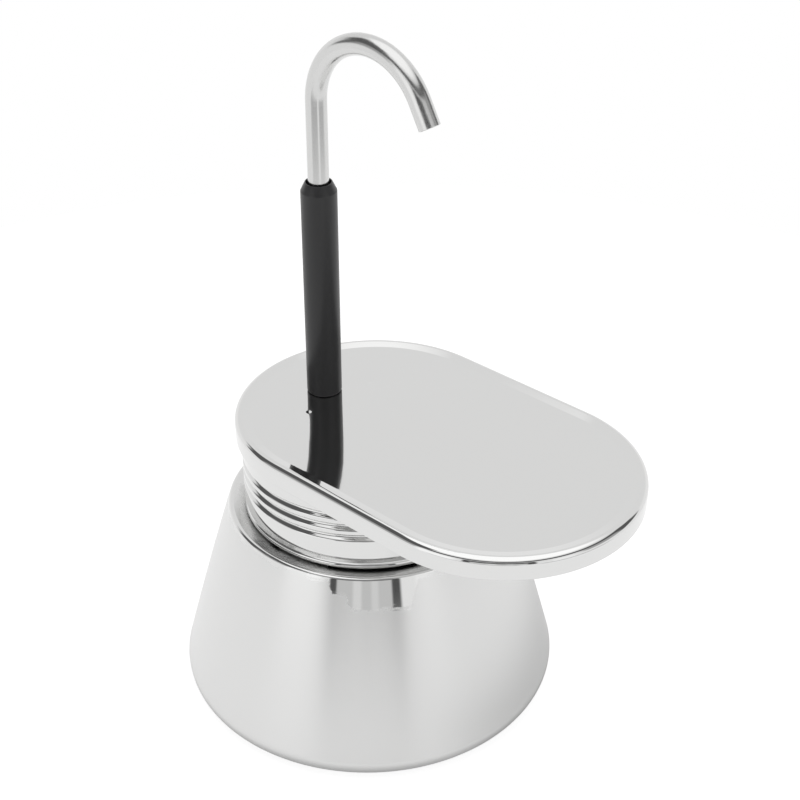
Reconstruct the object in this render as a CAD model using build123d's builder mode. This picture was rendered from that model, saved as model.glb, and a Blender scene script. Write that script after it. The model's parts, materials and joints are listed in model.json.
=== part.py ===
from build123d import *
import math
import os

# Stovetop espresso pot for one cup: a conical boiler, a screw-on cap that carries a
# pill-shaped cup platform, and a swan-neck spout in a heat-proof handle sleeve.
# Millimetres, +Z up. The origin is on the boiler's axis, in the plane of its base.
# +X is the long axis of the cup platform, from the spout towards the cup.

# ---- Driving dimensions ------------------------------------------------------------

# Boiler: conical flank with a slight outward belly, ledge sunk inside the shoulder, threaded neck
base_radius = 42.5            # where the flank would meet the table without its rounding
base_rounding = 4.2
flank_belly = 0.27            # rise of the flank's arc over its chord
shoulder_radius = 29.81
shoulder_height = 45.14
shoulder_rounding = 0.9
ledge_root_height = 43.4      # the ledge inside the shoulder falls inwards to the neck
boiler_sheet = 0.8
weld_height = 6.0             # the base pan is butt-welded to the shell here
base_groove_radius = 33.0     # stiffening groove pressed into the base
base_groove_width = 3.0
base_groove_depth = 0.3
neck_radius = 24.75
neck_sheet = 0.6
neck_top = 61.0
neck_root_rounding = 0.8

# Rolled right-hand screw thread between neck and cap
thread_pitch = 2.54
neck_thread_crest = 25.55          # crest radius of the neck's ridge
cap_thread_crest = 25.15           # crest radius of the cap's inward ridge
cap_thread_start = 50.26
thread_start_turn = 27.1           # degrees from +X to where both threads begin
cap_thread_turns = 3.0
neck_thread_turns = 3.5
ridge_root_width = 1.3
ridge_crest_width = 0.5
ridge_bite = 0.25                  # how far a ridge reaches into its wall

# Screw cap
cap_radius = 26.5
cap_sheet = 0.6
cap_foot_top = 47.0           # the wall necks in below this height
cap_top = 66.1
cap_top_rounding = 1.2
cap_foot_radius = 26.05       # outside of the necked-in foot
cap_foot_taper = 0.4
cap_foot_bore_radius = 25.65
cap_bead_radius = 0.8
cap_bead_centre = 25.62
cap_bead_height = 44.93
cap_groove_depth = 0.7
cap_groove_width = 1.7
cap_groove_floor = 0.7

# Cup platform
platform_half_width = 29.3
platform_rear_centre = 2.1
platform_front_centre = 35.5
platform_centre_y = 0.4
platform_top = 67.3
platform_height = 4.6
platform_edge_rounding = 1.4
platform_sheet = 0.6
platform_crest_inset = 1.5    # top of the raised rim, in from the platform's edge
platform_rim_width = 3.35     # the rim slopes down to the panel this far in
platform_recess = 0.6
weld_dimple_places = [(-7.6, -9.5), (-6.5, 7.8)]
weld_dimple_radius = 0.6
weld_dimple_depth = 0.1
sleeve_seat_depth = 0.1       # pressed seat in the panel that locates the sleeve and ferrule

# Spout tube, its ferrule and the handle sleeve
spout_x = -11.7
spout_y = -0.7
tube_radius = 2.13
tube_wall = 0.5
tube_bottom = 63.8
bend_start = 131.55
bend_radius = 14.2
bend_angle = 151.2
tip_length = 5.1
sleeve_radius = 3.7
sleeve_top = 114.7
sleeve_taper_height = 1.85
sleeve_taper_width = 0.95
sleeve_bottom_rounding = 0.4
sleeve_mouth_radius = 2.55
sleeve_mouth_depth = 1.4
fit_clearance = 0.05

ferrule_flange_radius = 3.0
ferrule_flange_height = 0.8
ferrule_shank_radius = 2.6
ferrule_bottom = 63.3
ferrule_nut_across_flats = 8.0
ferrule_nut_height = 1.6
ferrule_seal_height = 0.5

# Funnel that holds the ground coffee
funnel_sheet = 0.5
funnel_flange_radius = 24.6
funnel_cup_radius = 22.5
funnel_cup_bottom = 49.0
funnel_cone_bottom = 43.0
stem_radius = 4.5
stem_wall = 0.5
stem_bottom = 3.5
stem_notch_width = 3.0
stem_notch_height = 2.0
sieve_thickness = 0.5
sieve_hole_radius = 0.6
sieve_rings = [(5.0, 8), (8.5, 14), (12.0, 20), (15.5, 26), (19.0, 32)]

# Gasket and filter plate under the cap
gasket_bottom = 61.55
gasket_top = 65.4
gasket_radius = 25.3
gasket_bore_radius = 21.3
gasket_rebate_radius = 23.6
gasket_chamfer = 0.3
plate_sheet = 0.5
plate_rim_radius = 23.4
plate_dish_radius = 20.9
plate_dish_bottom = 61.65
plate_rim_top = 65.35
plate_hole_radius = 0.5
plate_rings = [(3.0, 6), (6.0, 12), (9.0, 18), (12.0, 24), (15.0, 30), (18.0, 36)]

# Safety valve, square to the boiler's flank
valve_height = 27.0
valve_turn = 135.0            # degrees from +X round the boiler
valve_hole_radius = 3.1
valve_shank_radius = 3.0
valve_across_flats = 10.0
valve_head_height = 3.0
valve_nose_radius = 3.6
valve_nose_height = 2.6
valve_nose_chamfer = 0.5
valve_bore_radius = 1.9
valve_seat_radius = 0.9
valve_seat_depth = 3.2
valve_washer_radius = 5.0
valve_washer_height = 0.8
valve_shank_length = 4.6
valve_nut_height = 2.0
valve_nut_boss_radius = 4.0        # the nut's boss bears on the hollow side of the curved flank
valve_nut_boss_height = 0.8
valve_nut_gap = 0.35
poppet_radius = 1.6
poppet_stem_radius = 0.75
poppet_length = 2.2
poppet_stem_length = 3.9
spring_wire_radius = 0.2
spring_coil_radius = 1.25
spring_turns = 5
retainer_radius = 2.4
retainer_hole_radius = 0.9
retainer_height = 0.8

# ---- Derived dimensions ------------------------------------------------------------

flank_angle = math.degrees(math.atan2(base_radius - shoulder_radius, shoulder_height))
flank_shift = boiler_sheet / math.cos(math.radians(flank_angle))
ledge_slope = (shoulder_height - ledge_root_height) / (shoulder_radius - neck_radius)
ledge_shift = boiler_sheet * math.hypot(1, ledge_slope)
neck_bore_radius = neck_radius - neck_sheet
cap_inner_radius = cap_radius - cap_sheet
# the neck's ridge lies half a pitch under the cap's, so that the two interlock
neck_thread_start = cap_thread_start - thread_pitch / 2
panel_top = platform_top - platform_recess
sleeve_seat = panel_top - sleeve_seat_depth
rim_slope_angle = math.atan2(platform_recess, platform_rim_width - platform_crest_inset)
rim_shift = platform_sheet * math.tan(rim_slope_angle / 2)
panel_centre_x = (platform_rear_centre + platform_front_centre) / 2
platform_pitch = platform_front_centre - platform_rear_centre


def flank_radius(height):
    """Radius of the straight line under the boiler's flank at a height."""
    return base_radius + (shoulder_radius - base_radius) * height / shoulder_height


def write(part, name):
    """Label a finished piece and write it as its own STEP file."""
    part.label = name
    export_step(part, f"parts/{name}.step")


def ring_places(rings):
    """Centres of holes set out on rings around the axis, each ring turned by half a step."""
    places = [(0, 0)]
    for ring_radius, count in rings:
        for index in range(count):
            turn = 2 * math.pi * (index + 0.5) / count
            places.append((ring_radius * math.cos(turn), ring_radius * math.sin(turn)))
    return places


def thread_solid(wall_radius, crest_radius, start_height, turns, root_width, crest_width):
    """A right-hand helical ridge or groove whose crest lies at crest_radius."""
    inward = -1 if crest_radius > wall_radius else 1
    buried_radius = wall_radius + inward * ridge_bite
    with BuildPart() as ridge:
        with BuildLine() as path:
            Helix(thread_pitch, thread_pitch * turns, wall_radius, center=(0, 0, start_height))
        section_plane = Plane(
            origin=path.line @ 0, x_dir=(1, 0, 0), z_dir=path.line % 0
        )
        with BuildSketch(section_plane) as section:
            with BuildLine():
                Polyline(
                    (buried_radius - wall_radius, -root_width / 2),
                    (crest_radius - wall_radius, -crest_width / 2),
                    (crest_radius - wall_radius, crest_width / 2),
                    (buried_radius - wall_radius, root_width / 2),
                    close=True,
                )
            make_face()
        sweep(sections=section.sketch, path=path.line, is_frenet=True)
    return ridge.part.rotate(Axis.Z, thread_start_turn)


os.makedirs("parts", exist_ok=True)

# ---- Boiler --------------------------------------------------------------------------

# Half section of the whole boiler sheet: outer outline less inner outline
with BuildSketch(Plane.XZ) as boiler_section:
    with BuildLine() as boiler_outline:
        Line((0, 0), (base_radius, 0))
        SagittaArc((base_radius, 0), (shoulder_radius, shoulder_height), -flank_belly)
        Polyline(
            (shoulder_radius, shoulder_height),
            (neck_radius, ledge_root_height),
            (neck_radius, neck_top),
            (0, neck_top),
            (0, 0),
        )
    make_face()
    outer_corners = boiler_section.vertices()
    fillet(outer_corners.sort_by_distance((base_radius, 0))[0], base_rounding)
    fillet(outer_corners.sort_by_distance((shoulder_radius, shoulder_height))[0], shoulder_rounding)
    fillet(outer_corners.sort_by_distance((neck_radius, ledge_root_height))[0], neck_root_rounding)
    with BuildSketch(Plane.XZ, mode=Mode.SUBTRACT) as boiler_hollow:
        inner_base = flank_radius(boiler_sheet) - flank_shift
        inner_root = ledge_root_height - ledge_shift - ledge_slope * neck_sheet
        inner_span = flank_radius(0) - flank_shift - neck_bore_radius
        inner_top = inner_root + ledge_slope * inner_span
        inner_top /= 1 + ledge_slope * math.tan(math.radians(flank_angle))
        inner_shoulder = flank_radius(inner_top) - flank_shift
        with BuildLine():
            Line((0, boiler_sheet), (inner_base, boiler_sheet))
            SagittaArc(
                (inner_base, boiler_sheet),
                (inner_shoulder, inner_top),
                -flank_belly,
            )
            Polyline(
                (inner_shoulder, inner_top),
                (neck_bore_radius, inner_root),
                (neck_bore_radius, neck_top),
                (0, neck_top),
                (0, boiler_sheet),
            )
        make_face()
        inner_corners = boiler_hollow.vertices()
        fillet(
            inner_corners.sort_by_distance((inner_base, boiler_sheet))[0],
            base_rounding - boiler_sheet,
        )
        fillet(
            inner_corners.sort_by_distance((inner_shoulder, inner_top))[0],
            shoulder_rounding - boiler_sheet,
        )

with BuildPart() as boiler_base:
    add(boiler_section.sketch)
    revolve(axis=Axis.Z)
    split(bisect_by=Plane.XY.offset(weld_height), keep=Keep.BOTTOM)
    with BuildSketch(Plane.XY):
        Circle(base_groove_radius + base_groove_width / 2)
        Circle(base_groove_radius - base_groove_width / 2, mode=Mode.SUBTRACT)
    extrude(amount=base_groove_depth, mode=Mode.SUBTRACT)

neck_thread = thread_solid(
    neck_radius,
    neck_thread_crest,
    neck_thread_start,
    neck_thread_turns,
    ridge_root_width,
    ridge_crest_width,
)

# The valve's own frame: on the flank, +Z outwards and square to the sheet
valve_outward = Vector(1, 0, 0).rotate(Axis.Z, valve_turn)
valve_plane = Plane(
    origin=valve_outward * (flank_radius(valve_height) + flank_belly + fit_clearance)
    + Vector(0, 0, valve_height),
    x_dir=valve_outward.rotate(Axis.Z, -90),
    z_dir=valve_outward * math.cos(math.radians(flank_angle))
    + Vector(0, 0, math.sin(math.radians(flank_angle))),
)

with BuildPart() as boiler_shell:
    add(boiler_section.sketch)
    revolve(axis=Axis.Z)
    split(bisect_by=Plane.XY.offset(weld_height), keep=Keep.TOP)
    add(neck_thread)
    with BuildSketch(valve_plane):
        Circle(valve_hole_radius)
    extrude(amount=2 * boiler_sheet, both=True, mode=Mode.SUBTRACT)

# ---- Safety valve --------------------------------------------------------------------

valve_axis = Axis(valve_plane.origin, valve_plane.z_dir)
valve_mouth = valve_washer_height + valve_head_height + valve_nose_height
valve_seat = valve_mouth - valve_nose_height - valve_seat_depth

# Body: hexagon head outside on its washer, nose with the valve bore, shank into the boiler
with BuildPart() as valve_body:
    with BuildSketch(valve_plane.offset(valve_washer_height)):
        RegularPolygon(valve_across_flats / 2, 6, major_radius=False)
    extrude(amount=valve_head_height)
    with BuildSketch(valve_plane.offset(valve_washer_height + valve_head_height)):
        Circle(valve_nose_radius)
    extrude(amount=valve_nose_height)
    chamfer(valve_body.faces().sort_by(valve_axis)[-1].edges(), valve_nose_chamfer)
    with BuildSketch(valve_plane.offset(valve_washer_height)):
        Circle(valve_shank_radius)
    extrude(amount=-valve_washer_height - valve_shank_length)
    with BuildSketch(valve_plane.offset(-valve_shank_length)):
        Circle(valve_seat_radius)
    extrude(amount=valve_shank_length + valve_seat, mode=Mode.SUBTRACT)
    with BuildSketch(valve_plane.offset(valve_mouth)):
        Circle(valve_bore_radius)
    extrude(amount=valve_seat - valve_mouth, mode=Mode.SUBTRACT)
    with BuildSketch(valve_plane.offset(valve_mouth)):
        Circle(retainer_radius)
    extrude(amount=-retainer_height, mode=Mode.SUBTRACT)

with BuildPart() as valve_washer:
    with BuildSketch(valve_plane):
        Circle(valve_washer_radius)
        Circle(valve_hole_radius, mode=Mode.SUBTRACT)
    extrude(amount=valve_washer_height)

nut_face = -boiler_sheet - valve_nut_gap
with BuildPart() as valve_nut:
    with BuildSketch(valve_plane.offset(nut_face)):
        Circle(valve_nut_boss_radius)
        Circle(valve_shank_radius + fit_clearance, mode=Mode.SUBTRACT)
    extrude(amount=-valve_nut_boss_height)
    with BuildSketch(valve_plane.offset(nut_face - valve_nut_boss_height)):
        RegularPolygon(valve_across_flats / 2, 6, major_radius=False)
        Circle(valve_shank_radius + fit_clearance, mode=Mode.SUBTRACT)
    extrude(amount=-valve_nut_height)

# Poppet: a disc that closes the inlet hole, with a stem that guides the spring
with BuildPart() as valve_poppet:
    with BuildSketch(valve_plane.offset(valve_seat)):
        Circle(poppet_radius)
    extrude(amount=poppet_length / 2)
    with BuildSketch(valve_plane.offset(valve_seat + poppet_length / 2)):
        Circle(poppet_stem_radius)
    extrude(amount=poppet_stem_length - poppet_length / 2)

with BuildPart() as valve_retainer:
    with BuildSketch(valve_plane.offset(valve_mouth)):
        Circle(retainer_radius)
        Circle(retainer_hole_radius, mode=Mode.SUBTRACT)
    extrude(amount=-retainer_height)

spring_bottom = valve_seat + poppet_length / 2 + spring_wire_radius
spring_top = valve_mouth - retainer_height - spring_wire_radius
with BuildPart() as spring_coil:
    with BuildLine() as spring_path:
        Helix((spring_top - spring_bottom) / spring_turns, spring_top - spring_bottom, spring_coil_radius)
    with BuildSketch(Plane(origin=spring_path.line @ 0, z_dir=spring_path.line % 0)) as wire_section:
        Circle(spring_wire_radius)
    sweep(sections=wire_section.sketch, path=spring_path.line, is_frenet=True)
with BuildPart() as valve_spring:
    add(valve_plane.offset(spring_bottom).location * spring_coil.part)

# ---- Funnel --------------------------------------------------------------------------

# Funnel cup: flange on the neck's rim, straight cup, cone down to the stem
with BuildPart() as funnel_cup:
    with BuildSketch(Plane.XZ):
        with BuildLine():
            Polyline(
                (funnel_flange_radius, neck_top),
                (funnel_cup_radius, neck_top),
                (funnel_cup_radius, funnel_cup_bottom),
                (stem_radius + funnel_sheet, funnel_cone_bottom),
                (stem_radius, funnel_cone_bottom),
                (stem_radius, funnel_cone_bottom + funnel_sheet),
                (funnel_cup_radius - funnel_sheet, funnel_cup_bottom + funnel_sheet),
                (funnel_cup_radius - funnel_sheet, neck_top + funnel_sheet),
                (funnel_flange_radius, neck_top + funnel_sheet),
                close=True,
            )
        make_face()
    revolve(axis=Axis.Z)

with BuildPart() as funnel_stem:
    with BuildSketch(Plane.XY.offset(stem_bottom)):
        Circle(stem_radius)
        Circle(stem_radius - stem_wall, mode=Mode.SUBTRACT)
    extrude(amount=funnel_cone_bottom + funnel_sheet - stem_bottom)
    with Locations((0, 0, stem_bottom)):
        Box(2 * stem_radius, stem_notch_width, 2 * stem_notch_height, mode=Mode.SUBTRACT)

# Perforated sieve that carries the grounds, lying on the shoulder of the cone
with BuildPart() as funnel_sieve:
    with BuildSketch(Plane.XY.offset(funnel_cup_bottom + funnel_sheet)):
        Circle(funnel_cup_radius - funnel_sheet - fit_clearance)
        with Locations(*ring_places(sieve_rings)):
            Circle(sieve_hole_radius, mode=Mode.SUBTRACT)
    extrude(amount=sieve_thickness)

# ---- Gasket and filter plate -----------------------------------------------------------

with BuildPart() as gasket:
    with BuildSketch(Plane.XZ):
        with BuildLine():
            Polyline(
                (gasket_bore_radius, gasket_bottom),
                (gasket_radius, gasket_bottom),
                (gasket_radius, gasket_top),
                (gasket_rebate_radius, gasket_top),
                (gasket_rebate_radius, plate_rim_top - plate_sheet),
                (gasket_bore_radius, plate_rim_top - plate_sheet),
                close=True,
            )
        make_face()
    revolve(axis=Axis.Z)
    chamfer(gasket.edges().filter_by(GeomType.CIRCLE).group_by(Axis.Z)[0], gasket_chamfer)

# Filter plate: dished, with its rim caught between gasket and cap
with BuildPart() as filter_plate:
    with BuildSketch(Plane.XZ):
        with BuildLine():
            Polyline(
                (0, plate_dish_bottom),
                (plate_dish_radius, plate_dish_bottom),
                (plate_dish_radius, plate_rim_top - plate_sheet),
                (plate_rim_radius, plate_rim_top - plate_sheet),
                (plate_rim_radius, plate_rim_top),
                (plate_dish_radius - plate_sheet, plate_rim_top),
                (plate_dish_radius - plate_sheet, plate_dish_bottom + plate_sheet),
                (0, plate_dish_bottom + plate_sheet),
                close=True,
            )
        make_face()
    revolve(axis=Axis.Z)
    with BuildSketch(Plane.XY.offset(plate_dish_bottom)):
        with Locations(*ring_places(plate_rings)):
            Circle(plate_hole_radius)
    extrude(amount=plate_sheet, mode=Mode.SUBTRACT)

# ---- Screw cap -------------------------------------------------------------------------

cap_ridge = thread_solid(
    cap_inner_radius,
    cap_thread_crest,
    cap_thread_start,
    cap_thread_turns,
    ridge_root_width,
    ridge_crest_width,
)
cap_groove = thread_solid(
    cap_radius,
    cap_radius - cap_groove_depth,
    cap_thread_start,
    cap_thread_turns,
    cap_groove_width,
    cap_groove_floor,
)

with BuildPart() as threaded_cap:
    with BuildSketch(Plane.XZ) as cap_section:
        with BuildLine():
            Polyline(
                (0, cap_top),
                (cap_radius, cap_top),
                (cap_radius, cap_foot_top),
                (cap_foot_radius, cap_foot_top - cap_foot_taper),
                (cap_foot_radius, cap_bead_height),
                (cap_foot_bore_radius, cap_bead_height),
                (cap_foot_bore_radius, cap_foot_top),
                (cap_inner_radius, cap_foot_top + cap_foot_taper),
                (cap_inner_radius, cap_top - cap_sheet),
                (0, cap_top - cap_sheet),
                close=True,
            )
        make_face()
        corners = cap_section.vertices()
        fillet(corners.sort_by_distance((cap_radius, cap_top))[0], cap_top_rounding)
        fillet(
            corners.sort_by_distance((cap_inner_radius, cap_top - cap_sheet))[0],
            cap_top_rounding - cap_sheet,
        )
        with Locations((cap_bead_centre, cap_bead_height)):
            Circle(cap_bead_radius)
        with Locations((cap_foot_bore_radius, cap_bead_height)):
            Rectangle(
                2 * cap_bead_radius,
                2 * cap_bead_radius,
                align=(Align.MAX, Align.CENTER),
                mode=Mode.SUBTRACT,
            )
    revolve(axis=Axis.Z)
    add(cap_ridge)
    add(cap_groove, mode=Mode.SUBTRACT)
    with BuildSketch(Plane.XY.offset(cap_top)):
        with Locations((spout_x, spout_y)):
            Circle(ferrule_shank_radius + fit_clearance)
    extrude(amount=-2 * cap_sheet, mode=Mode.SUBTRACT)

# ---- Cup platform ------------------------------------------------------------------------


def pill(half_width):
    """The platform's outline, or one set in from it, drawn in the current sketch."""
    with Locations((panel_centre_x, platform_centre_y)):
        SlotCenterToCenter(platform_pitch, 2 * half_width)


def panel_pocket(panel_height, crest_height, shift):
    """Sinks the flat panel between two heights, with a sloped side up to the rim's crest."""
    with BuildSketch(Plane.XY.offset(panel_height)) as floor:
        pill(platform_half_width - platform_rim_width + shift)
    with BuildSketch(Plane.XY.offset(crest_height)) as brim:
        pill(platform_half_width - platform_crest_inset + shift)
    loft(sections=[floor.sketch, brim.sketch], ruled=True, mode=Mode.SUBTRACT)


platform_foot = platform_top - platform_height
with BuildPart() as platform_hollow:
    with BuildSketch(Plane.XY.offset(platform_foot)):
        pill(platform_half_width - platform_sheet)
    extrude(amount=platform_height - platform_sheet)
    fillet(
        platform_hollow.faces().sort_by(Axis.Z)[-1].edges(),
        platform_edge_rounding - platform_sheet,
    )
    panel_pocket(panel_top - platform_sheet, platform_top - platform_sheet, rim_shift)

with BuildPart() as cup_platform:
    with BuildSketch(Plane.XY.offset(platform_foot)):
        pill(platform_half_width)
    extrude(amount=platform_height)
    fillet(cup_platform.faces().sort_by(Axis.Z)[-1].edges(), platform_edge_rounding)
    panel_pocket(panel_top, platform_top, 0)
    add(platform_hollow.part, mode=Mode.SUBTRACT)
    with Locations(*[(x, y, panel_top) for x, y in weld_dimple_places]):
        Hole(weld_dimple_radius, depth=weld_dimple_depth)
    with Locations((spout_x, spout_y, panel_top)):
        Hole(sleeve_radius + fit_clearance, depth=sleeve_seat_depth)
        Hole(ferrule_shank_radius + fit_clearance)

# ---- Spout ---------------------------------------------------------------------------------

# Upright plane through the tube's axis, along X
spout_plane = Plane(origin=(spout_x, spout_y, 0), x_dir=(1, 0, 0), z_dir=(0, -1, 0))

with BuildPart() as spout_tube:
    with BuildLine(spout_plane) as spout_path:
        rise = Line((0, tube_bottom), (0, bend_start))
        swan_neck = JernArc(rise @ 1, rise % 1, bend_radius, -bend_angle)
        Line(swan_neck @ 1, swan_neck @ 1 + (swan_neck % 1) * tip_length)
    with BuildSketch(Plane(origin=(spout_x, spout_y, tube_bottom))) as tube_section:
        Circle(tube_radius)
        Circle(tube_radius - tube_wall, mode=Mode.SUBTRACT)
    sweep(sections=tube_section.sketch, path=spout_path.line)

# Ferrule brazed to the tube: its flange sits on the platform inside the sleeve's foot, and
# its shank passes through platform and cap and takes the seal and the nut from below
with BuildPart() as spout_ferrule:
    with BuildSketch(Plane(origin=(spout_x, spout_y, sleeve_seat))):
        Circle(ferrule_flange_radius)
        Circle(tube_radius, mode=Mode.SUBTRACT)
    extrude(amount=ferrule_flange_height)
    with BuildSketch(Plane(origin=(spout_x, spout_y, sleeve_seat))):
        Circle(ferrule_shank_radius)
        Circle(tube_radius, mode=Mode.SUBTRACT)
    extrude(amount=ferrule_bottom - sleeve_seat)
    with BuildSketch(Plane(origin=(spout_x, spout_y, ferrule_bottom))):
        Circle(ferrule_shank_radius)
        Circle(tube_radius - tube_wall, mode=Mode.SUBTRACT)
    extrude(amount=tube_bottom - ferrule_bottom)

seal_top = cap_top - cap_sheet
with BuildPart() as ferrule_seal:
    with BuildSketch(Plane(origin=(spout_x, spout_y, seal_top))):
        Circle(ferrule_nut_across_flats / 2)
        Circle(ferrule_shank_radius + fit_clearance, mode=Mode.SUBTRACT)
    extrude(amount=-ferrule_seal_height)

with BuildPart() as ferrule_nut:
    with BuildSketch(Plane(origin=(spout_x, spout_y, seal_top - ferrule_seal_height))):
        RegularPolygon(ferrule_nut_across_flats / 2, 6, major_radius=False)
        Circle(ferrule_shank_radius + fit_clearance, mode=Mode.SUBTRACT)
    extrude(amount=-ferrule_nut_height)

# Handle sleeve: tapered top with a mouth a little wider than the tube, foot bored for the flange
tube_clearance_radius = tube_radius + fit_clearance
flange_bore_radius = ferrule_flange_radius + fit_clearance
flange_bore_top = sleeve_seat + ferrule_flange_height + fit_clearance
with BuildPart() as handle_sleeve:
    with BuildSketch(spout_plane) as sleeve_section:
        with BuildLine():
            Polyline(
                (flange_bore_radius, sleeve_seat),
                (sleeve_radius, sleeve_seat),
                (sleeve_radius, sleeve_top - sleeve_taper_height),
                (sleeve_radius - sleeve_taper_width, sleeve_top),
                (sleeve_mouth_radius, sleeve_top),
                (sleeve_mouth_radius, sleeve_top - sleeve_mouth_depth),
                (tube_clearance_radius, sleeve_top - sleeve_mouth_depth),
                (tube_clearance_radius, flange_bore_top),
                (flange_bore_radius, flange_bore_top),
                close=True,
            )
        make_face()
        foot_corners = sleeve_section.vertices()
        foot_corner = spout_plane.from_local_coords((sleeve_radius, sleeve_seat, 0))
        fillet(foot_corners.sort_by_distance(foot_corner)[0], sleeve_bottom_rounding)
    revolve(axis=Axis(spout_plane.origin, (0, 0, 1)))

# ---- Write every piece -----------------------------------------------------------------------

pieces = {
    "boiler_base": boiler_base,
    "boiler_shell": boiler_shell,
    "valve_body": valve_body,
    "valve_washer": valve_washer,
    "valve_nut": valve_nut,
    "valve_poppet": valve_poppet,
    "valve_spring": valve_spring,
    "valve_retainer": valve_retainer,
    "funnel_cup": funnel_cup,
    "funnel_stem": funnel_stem,
    "funnel_sieve": funnel_sieve,
    "gasket": gasket,
    "filter_plate": filter_plate,
    "threaded_cap": threaded_cap,
    "cup_platform": cup_platform,
    "spout_tube": spout_tube,
    "spout_ferrule": spout_ferrule,
    "ferrule_seal": ferrule_seal,
    "ferrule_nut": ferrule_nut,
    "handle_sleeve": handle_sleeve,
}
for piece_name, piece in pieces.items():
    write(piece.part, piece_name)
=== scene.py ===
import json
import math

import bmesh
import bpy
from mathutils import Matrix, Vector


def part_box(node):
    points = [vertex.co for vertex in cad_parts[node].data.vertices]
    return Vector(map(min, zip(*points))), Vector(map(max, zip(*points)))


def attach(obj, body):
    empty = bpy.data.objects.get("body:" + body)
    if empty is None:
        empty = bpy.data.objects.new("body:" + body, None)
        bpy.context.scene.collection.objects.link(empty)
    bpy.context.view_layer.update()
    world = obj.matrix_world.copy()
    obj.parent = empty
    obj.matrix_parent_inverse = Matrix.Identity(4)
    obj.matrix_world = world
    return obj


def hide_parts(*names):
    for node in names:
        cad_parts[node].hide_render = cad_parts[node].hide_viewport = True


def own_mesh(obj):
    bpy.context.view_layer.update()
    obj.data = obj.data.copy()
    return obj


# A single-spout camping espresso pot on a pale floor. Metres, in the frame of the CAD model:
# the boiler's axis is Z, and +X is the cup platform's long axis. An azimuth is an angle about Z
# from -Y towards +X.

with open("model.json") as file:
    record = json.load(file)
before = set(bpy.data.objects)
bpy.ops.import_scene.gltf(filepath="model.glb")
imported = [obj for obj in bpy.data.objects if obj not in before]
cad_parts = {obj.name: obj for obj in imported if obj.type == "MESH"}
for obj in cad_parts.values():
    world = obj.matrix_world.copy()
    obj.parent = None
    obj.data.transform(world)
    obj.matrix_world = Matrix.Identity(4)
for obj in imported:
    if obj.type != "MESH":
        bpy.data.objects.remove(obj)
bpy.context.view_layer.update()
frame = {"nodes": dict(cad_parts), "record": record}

MM = 0.001
TINY = 1e-9
SEGMENTS = 256
ARC_STEP = math.radians(6)

# ---- Measures, worked out from the frame ------------------------------------------------

shell_low, shell_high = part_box("boiler_shell")
cap_low, cap_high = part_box("threaded_cap")
platform_low, platform_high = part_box("cup_platform")
sleeve_low, sleeve_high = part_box("handle_sleeve")
tube_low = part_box("spout_tube")[0]

record_behaviour = frame["record"]["behaviour"]
couplings = {row["joint"]: row["ratio"] for row in record_behaviour["couplings"]}
valve_lift = next(row for row in record_behaviour["joints"] if row["name"] == "valve_lift")

# Thread of cap and neck: its pitch in millimetres, the turn from +X at which both start, and
# the part of a turn over which each end fades out
PITCH = couplings["head_rise"] * 2 * math.pi / MM
THREAD_START_TURN = math.radians(27.1)
THREAD_FADE_TURNS = 0.12

# Boiler, in millimetres
BASE_RADIUS = 42.5
BASE_ROUNDING = 4.2
GROOVE_RADIUS = 33.0
GROOVE_DEPTH = 0.3
GROOVE_HALF_WIDTH = 1.5
GROOVE_FLOOR_HALF_WIDTH = 1.1
WELD_HEIGHT = shell_low.z / MM
PAN_TURNUP = 1.0              # height of the pan's straight edge under the weld
SHEET = 0.8
BELLY = 0.27
SHOULDER_RADIUS = 29.81
SHOULDER_HEIGHT = 45.14
SHOULDER_ROUNDING = 0.9
BELLY_TOP = SHOULDER_HEIGHT - 4
LEDGE_ROOT = 43.4
LEDGE_ROUNDING = 0.8
NECK_TOP = shell_high.z / MM
NECK_RADIUS = 24.75
NECK_SHEET = 0.6
NECK_THREAD_START = 48.99
NECK_THREAD_TURNS = 3.5
NECK_THREAD_HALF_WIDTH = 0.75
NECK_THREAD_DEPTH = 0.8
NECK_STEP = 0.12              # longest stretch of the wall between two rings of vertices

# Cap, in millimetres
CAP_RADIUS = 26.5
CAP_SHEET = 0.6
CAP_BOTTOM = cap_low.z / MM
CAP_TOP = cap_high.z / MM
CAP_ROUNDING = 1.2
CAP_FOOT_RADIUS = 26.05
CAP_FOOT_BORE = 25.65
CAP_FOOT_HEIGHT = 2.87
CAP_FOOT_TAPER = 0.4
BEAD_CENTRE = 25.62
BEAD_RADIUS = 0.8
CAP_THREAD_START = 50.26
CAP_THREAD_TURNS = 3.0
CAP_THREAD_HALF_WIDTH = 0.95
CAP_THREAD_DEPTH = -0.72
CAP_STEP = 0.1

# Safety valve's spring, in millimetres
SPRING_TURNS = 5
COIL_RADIUS = 1.25
WIRE_RADIUS = 0.2
STEPS_PER_COIL = 48
WIRE_SIDES = 12

# Cup platform, in millimetres
PLATFORM_HALF_WIDTH = (platform_high.y - platform_low.y) / 2 / MM
PLATFORM_REAR = platform_low.x / MM + PLATFORM_HALF_WIDTH
PLATFORM_FRONT = platform_high.x / MM - PLATFORM_HALF_WIDTH
PLATFORM_Y = (platform_high.y + platform_low.y) / 2 / MM
PLATFORM_TOP = platform_high.z / MM
PLATFORM_FOOT = platform_low.z / MM
PLATFORM_SHEET = 0.6
PLATFORM_ROUNDING = 1.4
CREST_INSET = 1.5
RIM_WIDTH = 3.35
SLEEVE_SEAT = sleeve_low.z / MM
PANEL_TOP = SLEEVE_SEAT + 0.1
PANEL_BORDER = 11.0           # from here inwards the panel is level
DISH_DEPTH = 0.12             # the panel's border lies this much over its middle
DISH_SHARES = (1.0, 0.85, 0.7, 0.55, 0.42, 0.3, 0.2, 0.11, 0.04)
WELD_DIMPLES = [(-7.6, -9.5), (-6.5, 7.8)]
DIMPLE_RINGS = [(0.62, 0), (0.55, 0.006), (0.42, 0.03), (0.28, 0.055), (0.14, 0.068)]
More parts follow.
